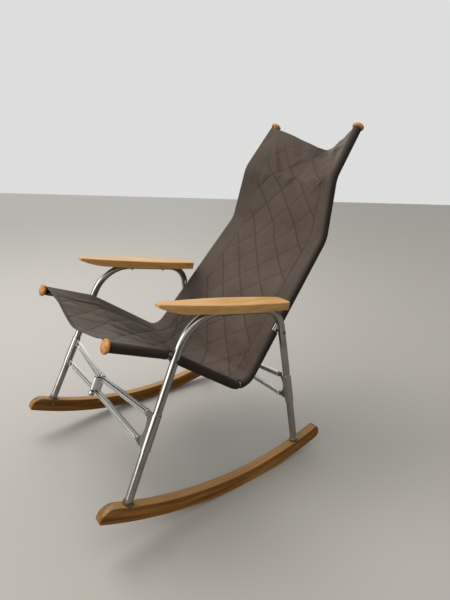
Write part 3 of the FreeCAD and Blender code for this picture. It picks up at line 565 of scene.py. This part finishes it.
# The hang's lowest line is rounded off. Near the top edge it has slipped towards the left side,
# the right half is tighter, and next to the sleeves the cloth lies smooth.
VALLEY_ROUND = 0.014
VALLEY_TRIM = 0.0134
TOP_SLIP = 0.034
SLIP_START = 1.0
SLIP_LENGTH = 0.2
RIGHT_TIGHTER = 0.3
SMOOTH_BORDER = 0.03


def panel_depth(x, along):
    # Distance of the cloth below the plane of the two tubes, without its quilting
    half, leave = section(along)[2:]
    sag, fullness = hang(along)
    edge = cloth_edge(half, leave)
    top = -SLEEVE_RADIUS * math.cos(leave)
    crown = max(0.0, (along - SLIP_START) / SLIP_LENGTH)
    slipped = TOP_SLIP * crown * max(0.0, 1 - abs(x) / edge)
    if x < slipped:
        fullness *= 1 - RIGHT_TIGHTER * crown
    share = min((math.hypot(x - slipped, VALLEY_ROUND) - VALLEY_ROUND) / (edge - VALLEY_TRIM), 1)
    calm = min(1.0, max(0.0, (edge - abs(x)) / SMOOTH_BORDER))
    return top + (sag - top) * (1 - share ** fullness) - creases(x, along) * calm


# The end edges are hollow: the middle stays behind the sleeves in front and slips down at the top
EDGE_HALF = 0.195
FRONT_EDGE_WIDER = 0.045
FRONT_TRIM = 0.0006
FRONT_HOLLOW = 0.013
HOLLOW_STEEPNESS = 2.6
HOLLOW_FROM = 0.08
TOP_TRIM = 0.002
TOP_HOLLOW = 0.024


def inward(x, share):
    # From 0 at the tubes to 1 midway between them
    return max(0, 1 - abs(x) / (EDGE_HALF + FRONT_EDGE_WIDER * (1 - share)))


def along_cloth(share, way_in):
    start = FRONT_TRIM + FRONT_HOLLOW * min(1, max(0, HOLLOW_STEEPNESS * (way_in - HOLLOW_FROM)))
    end = SLING_LENGTH - TOP_TRIM - TOP_HOLLOW * way_in
    return start + (end - start) * share


def panel_spot(x, share):
    # Each of these gives a spot in the frame, its place on the flat cloth, and how far it lies
    # inside the quilted field
    along = along_cloth(share, inward(x, share))
    spot, heading, half, leave = section(along)
    inside = min(half - HEM_WIDTH - abs(x), along - FRONT_HEM, SLING_LENGTH - TOP_HEM - along)
    if inside > 0:
        raised = QUILT_HEIGHT * quilting(x, along, inside)
    else:
        raised = BORDER_HEIGHT * (1 - math.exp(inside / BORDER_ROUND))
    calm = min(1.0, (cloth_edge(half, leave) - abs(x)) / SMOOTH_BORDER)
    depth = panel_depth(x, along) - raised * calm
    return below_tubes(x, spot, heading, depth), (x, along), inside


# The sleeve goes round the tube and in below it, and its end is tucked flat under the panel
WRAP_END = math.radians(-232)
TUCK_START = 0.012
TUCK_SHORTER = 0.014
TUCK_GAP = 0.003
TUCK_ACROSS = 0.06
TUCK_INSIDE = -0.08
GATHER_X = 0.155


def sleeve_spot(wrapped, share, side):
    along = along_cloth(share, 0)
    spot, heading, half, leave = section(along)
    angle = leave + (WRAP_END - leave) * wrapped
    depth = -SLEEVE_RADIUS * math.cos(angle)
    x = half - SLEEVE_RADIUS * math.sin(angle)
    across = half + SLEEVE_RADIUS * (leave - angle)
    return below_tubes(side * x, spot, heading, depth), (side * across, along), half - HEM_WIDTH - across


def tuck_spot(tucked, share, side):
    # The turned-in cloth lies under the panel as far as the seam of the hem, or the gathered middle
    half = section(along_cloth(share, 0))[2]
    x = half - TUCK_START - tucked * (min(HEM_WIDTH, half - GATHER_X) - TUCK_SHORTER)
    along = along_cloth(share, inward(x, share))
    spot, heading = sling_line(along)
    low = -SLEEVE_RADIUS * math.cos(WRAP_END)
    depth = low + (panel_depth(x, along) + TUCK_GAP - low) * math.sin(tucked * math.pi / 2)
    return below_tubes(side * x, spot, heading, depth), (side * (half + TUCK_ACROSS), along), TUCK_INSIDE


# Shares of a side piece's width at which its border ends and its sleeve ends, and the gaps in the
# sleeve, as their middle along the cloth and their reach: at the two bolts, and at the tube's corner
SLEEVE_FROM = 0.58
SLEEVE_TO = 0.86
SLEEVE_GAPS = ((0.157, 0.010), (0.401, 0.005), (0.591, 0.010))
MIDDLE_COLUMNS = 78
SIDE_COLUMNS = 44
CLOTH_ROWS = 300


def side_spot(side):
    def locate(across, share):
        half, leave = section(along_cloth(share, 0))[2:]
        if across <= SLEEVE_FROM:
            x = GATHER_X + (cloth_edge(half, leave) - GATHER_X) * across / SLEEVE_FROM
            return panel_spot(x * side, share)
        if across < SLEEVE_TO:
            return sleeve_spot((across - SLEEVE_FROM) / (SLEEVE_TO - SLEEVE_FROM), share, side)
        return tuck_spot((across - SLEEVE_TO) / (1 - SLEEVE_TO), share, side)
    return locate


def in_gap(corners):
    along = sum(corner[1] for corner in corners) / len(corners)
    share = sum(corner[2] for corner in corners) / len(corners)
    return share > SLEEVE_FROM and any(abs(along - middle) < reach for middle, reach in SLEEVE_GAPS)


def cloth_piece(name, columns, locate, cut=None, turn_over=False):
    # A grid whose columns run across the cloth and whose rows run along it
    piece = bmesh.new()
    bmesh.ops.create_grid(piece, x_segments=columns, y_segments=CLOTH_ROWS, size=0.5)
    uv = piece.loops.layers.uv.new("cloth")
    hem = piece.verts.layers.float.new("inside_hem")
    flat = {}
    for vert in piece.verts:
        across = vert.co.x + 0.5
        vert.co, place, inside = locate(across, vert.co.y + 0.5)
        vert[hem] = inside
        flat[vert] = (*place, across)
    if cut:
        doomed = [f for f in piece.faces if cut([flat[v] for v in f.verts])]
        bmesh.ops.delete(piece, geom=doomed, context="FACES")
    for face in piece.faces:
        face.smooth = True
        for loop in face.loops:
            loop[uv].uv = flat[loop.vert][:2]
    if turn_over:
        bmesh.ops.reverse_faces(piece, faces=piece.faces)
    mesh = bpy.data.meshes.new(name)
    piece.to_mesh(mesh)
    piece.free()
    made = bpy.data.objects.new(name, mesh)
    bpy.context.collection.objects.link(made)
    thick = made.modifiers.new("thickness", "SOLIDIFY")
    thick.thickness = CLOTH_THICKNESS
    thick.offset = -1
    return made


# Leatherette: how far from a seam its groove, painted shade and thread reach, the stretches along the cloth
# over which the seams' painted shade fades at the top edge, the back's border seam is worn smooth with less
# painted shade and the seat has worn, and how far outside the quilting a sleeve and its painted shade start
SEAM_GROOVE = (0.0, 0.0032)
SEAM_SHADE = (0.0, 0.005)
CROSS_SEAM_SHADE = (0.0, 0.006)
THREAD_REACH = (0.0004, 0.001)
STITCH_STEP = 0.006
STITCH_GAP = 0.28
TOP_SEAM_SHADE_FADE = (1.2, 1.0)
BACK_WORN_LESS_SHADED = (0.5, 0.7)
SEAT_DUSTY = (0.5, 0.3)
SLEEVE_PAINTED_SHADE_REACH = (-0.066, -0.05)


def slanted_seams(tree, split):
    # Distance from the nearest seam of each slant, and the dashes of the thread
    bow = arithmetic(tree, "MULTIPLY", arithmetic(tree, "POWER", split["X"], 2), QUILT_SLANT)
    slanted = arithmetic(tree, "SUBTRACT", split["X"], bow)
    rising = arithmetic(tree, "ADD", split["Y"], slanted)
    falling = arithmetic(tree, "SUBTRACT", split["Y"], slanted)
    seams = []
    for line in (rising, falling):
        turns = arithmetic(tree, "DIVIDE", arithmetic(tree, "SUBTRACT", line, QUILT_START), QUILT_STEP)
        part = arithmetic(tree, "SUBTRACT", turns, arithmetic(tree, "ROUND", turns))
        off_seam = arithmetic(tree, "ABSOLUTE", part)
        seams.append(arithmetic(tree, "MULTIPLY", off_seam, QUILT_STEP / math.sqrt(2)))
    stitch = arithmetic(tree, "FRACT", arithmetic(tree, "MULTIPLY", falling, 1 / STITCH_STEP))
    return seams, arithmetic(tree, "GREATER_THAN", stitch, STITCH_GAP)


def quilted_leatherette():
    material, tree, shader = start_material("quilted_leatherette", (0.09, 0.07, 0.055), 0.5)
    split = split_up(tree, add_node(tree, "ShaderNodeUVMap", uv_map="cloth").outputs[0])
    inside = add_node(tree, "ShaderNodeAttribute", attribute_name="inside_hem").outputs["Fac"]
    place = object_place(tree)
    seams, dash = slanted_seams(tree, split)
    quilted = arithmetic(tree, "GREATER_THAN", inside, 0.0)
    # The border's seam is worn smooth on the right side of the back, and its painted shade is lighter there
    rightward = arithmetic(tree, "MAXIMUM", arithmetic(tree, "MULTIPLY", split["X"], -1), 0.0)
    worn_and_less_shaded = arithmetic(tree, "MULTIPLY", rightward, rescaled(tree, split["Y"], BACK_WORN_LESS_SHADED, (0.0, 0.03)))
    border = arithmetic(tree, "ADD", arithmetic(tree, "ABSOLUTE", inside), worn_and_less_shaded)
    nearest = arithmetic(tree, "ADD", arithmetic(tree, "MINIMUM", seams[0], seams[1]),
                         arithmetic(tree, "SUBTRACT", 1.0, quilted))
    nearest = arithmetic(tree, "MINIMUM", nearest, border)
    # Brown, clouded, with painted shade along the seams that fades at the top edge and on one slant
    cloudy = mottle(tree, place, scale=9.0, detail=4, roughness=0.55)
    tone = colour_ramp(tree, cloudy, [(0.3, (0.052, 0.037, 0.026)), (0.7, (0.078, 0.058, 0.042))])
    shade = rescaled(tree, nearest, SEAM_SHADE)
    seam_painted_shade = colour_ramp(tree, shade, [(0.0, (0.60, 0.58, 0.56)), (1.0, (1, 1, 1))])
    faint = rescaled(tree, arithmetic(tree, "MINIMUM", seams[0], border), CROSS_SEAM_SHADE, (1.0, 0.5))
    fade = arithmetic(tree, "MULTIPLY", rescaled(tree, split["Y"], TOP_SEAM_SHADE_FADE, (0.35, 1.0)), faint)
    seamed = blended(tree, fade, tone, seam_painted_shade, "MULTIPLY")
    # The seat has paled where it is sat on, and the sleeves round the tubes are darker with painted shade
    sat_on = arithmetic(tree, "MULTIPLY", rescaled(tree, split["Y"], SEAT_DUSTY), quilted)
    dusty = colour_ramp(tree, sat_on, [(0.0, (1, 1, 1)), (1.0, (1.28, 1.32, 1.4))])
    sleeve_painted_shade = colour_ramp(tree, rescaled(tree, inside, SLEEVE_PAINTED_SHADE_REACH),
                              [(0.0, (0.42, 0.40, 0.40)), (1.0, (1, 1, 1))])
    used = blended(tree, 1.0, blended(tree, 1.0, seamed, dusty, "MULTIPLY"), sleeve_painted_shade, "MULTIPLY")
    tree.links.new(used, shader.inputs["Base Color"])
    tree.links.new(rescaled(tree, cloudy, (0.3, 0.7), (0.5, 0.66)), shader.inputs["Roughness"])
    shader.inputs["Specular IOR Level"].default_value = 0.25
    # Small folds, then the leather's grain, then the seams' grooves, then the thread in them
    small_folds = mottle(tree, drawn_out(tree, place, (70, 16, 16)), scale=1.0, detail=3)
    grain = add_node(tree, "ShaderNodeTexVoronoi", {"Scale": 620.0}, {0: place}, feature="DISTANCE_TO_EDGE")
    groove = rescaled(tree, nearest, SEAM_GROOVE, interpolation_type="SMOOTHSTEP")
    thread = arithmetic(tree, "MULTIPLY", rescaled(tree, nearest, THREAD_REACH, (1.0, 0.0)), dash)
    under = bumped(tree, shader, small_folds, strength=0.35, distance=0.002)
    under = bumped(tree, shader, grain.outputs[0], strength=0.18, distance=0.0004, under=under)
    under = bumped(tree, shader, groove, strength=0.6, distance=0.0012, under=under)
    bumped(tree, shader, thread, strength=0.5, distance=0.0006, under=under)
    return material


def middle_spot(across, share):
    return panel_spot((across * 2 - 1) * GATHER_X, share)


leatherette = quilted_leatherette()
middle = cloth_piece("sling_middle", MIDDLE_COLUMNS, middle_spot)
middle.data.materials.append(leatherette)
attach(middle, "left_side")
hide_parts("sling_panel")
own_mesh(middle)
for name, side in (("left", 1), ("right", -1)):
    edge = cloth_piece("sling_" + name + "_side", SIDE_COLUMNS, side_spot(side), in_gap, side < 0)
    edge.data.materials.append(leatherette)
    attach(edge, name + "_side")
    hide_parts(name + "_seat_hem", name + "_back_hem")


# Floor and light. A pale floor carries the chair's shadow, in a plain pale room. A large soft lamp
# stands high on the chair's right, and a weak one fills in from its left.
FLOOR_TURN = math.radians(53.2)
FLOOR_COLOUR = (0.36, 0.34, 0.30)
FLOOR_SHADED_FOR_REFLECTIONS = (0.17, 0.155, 0.13)
WALL_COLOUR = (0.72, 0.73, 0.72)


def studio_floor():
    material, tree, shader = start_material("studio_floor", FLOOR_COLOUR, 0.5)
    seen = add_node(tree, "ShaderNodeLightPath").outputs["Is Camera Ray"]
    # Painted shade: the camera sees the floor's colour, while reflections and bounce light see a darker
    # copy of it
    tree.links.new(blended(tree, seen, FLOOR_SHADED_FOR_REFLECTIONS, FLOOR_COLOUR), shader.inputs["Base Color"])
    return material


floor_shape = bmesh.new()
bmesh.ops.create_grid(floor_shape, x_segments=1, y_segments=1, size=6)
floor_mesh = bpy.data.meshes.new("studio_floor")
floor_shape.to_mesh(floor_mesh)
floor_shape.free()
floor_mesh.materials.append(studio_floor())
floor = bpy.data.objects.new("studio_floor", floor_mesh)
floor.rotation_euler.z = FLOOR_TURN
bpy.context.collection.objects.link(floor)

world = bpy.data.worlds.new("pale_room")
bpy.context.scene.world = world
world.use_nodes = True
room = world.node_tree
sky = add_node(room, "ShaderNodeTexCoord").outputs["Generated"]
height = split_up(room, sky)["Z"]
shade = colour_ramp(room, arithmetic(room, "ADD", arithmetic(room, "MULTIPLY", height, 0.5), 0.5), [
    (0.48, (0.06, 0.055, 0.05)), (0.58, (0.13, 0.13, 0.125)), (0.75, (0.42, 0.43, 0.44)), (0.92, (1, 1, 1)),
])


def bright_patch(under, direction, near, far, light):
    # A soft round patch of sky light in one direction, added to what is under it
    facing = length_along(room, sky, tuple(Vector(direction).normalized()))
    amount = rescaled(room, facing, (far, near), interpolation_type="SMOOTHSTEP")
    return blended(room, amount, under, light)


shade = bright_patch(shade, (-0.15, -1.0, 0.42), near=0.96, far=0.80, light=(2.6, 2.6, 2.6))
shade = bright_patch(shade, (-1.0, 0.35, 0.35), near=0.97, far=0.85, light=(1.3, 1.3, 1.3))
seen = add_node(room, "ShaderNodeLightPath").outputs["Is Camera Ray"]
back = room.nodes["Background"]
room.links.new(blended(room, seen, shade, WALL_COLOUR), back.inputs["Color"])
back.inputs["Strength"].default_value = 1.0


def soft_lamp(name, place, aim, width, power):
    lamp = bpy.data.lights.new(name, "AREA")
    lamp.shape = "DISK"
    lamp.size = width
    lamp.energy = power
    lit = bpy.data.objects.new(name, lamp)
    lit.location = place
    lit.visible_glossy = False
    lit.rotation_euler = (Vector(aim) - Vector(place)).to_track_quat("-Z", "Y").to_euler()
    bpy.context.collection.objects.link(lit)


soft_lamp("window_lamp", (-1.5, -0.7, 2.6), aim=(0, 0, 0.4), width=1.8, power=59)
soft_lamp("fill_lamp", (2.6, -1.0, 1.1), aim=(0, 0, 0.3), width=1.8, power=9)


# Camera. It stands at the photograph's viewpoint, with the lens that fits the chair's proportions,
# and is leaned with the chair as that is rolled to where it rests.
CAMERA_SPOT = (1.03948, -0.68554, 0.92269)
CAMERA_TURN = math.radians(53.18)
CAMERA_RISE = math.radians(90 - 20.84)

camera_data = bpy.data.cameras.new("camera")
camera_data.sensor_width = 36
camera_data.lens = 27.04
camera = bpy.data.objects.new("camera", camera_data)
bpy.context.collection.objects.link(camera)
stand = Matrix.Translation(CAMERA_SPOT) @ Matrix.Rotation(CAMERA_TURN, 4, "Z") @ \
    Matrix.Rotation(CAMERA_RISE, 4, "X")
lean = Matrix.Translation((0, CONTACT_Y, ROCKER_RADIUS)) @ Matrix.Rotation(REST_TILT, 4, "X") @ \
    Matrix.Translation((0, 0, -ROCKER_RADIUS))
camera.matrix_world = lean @ stand
bpy.context.scene.camera = camera
bpy.context.scene.view_settings.view_transform = "Standard"
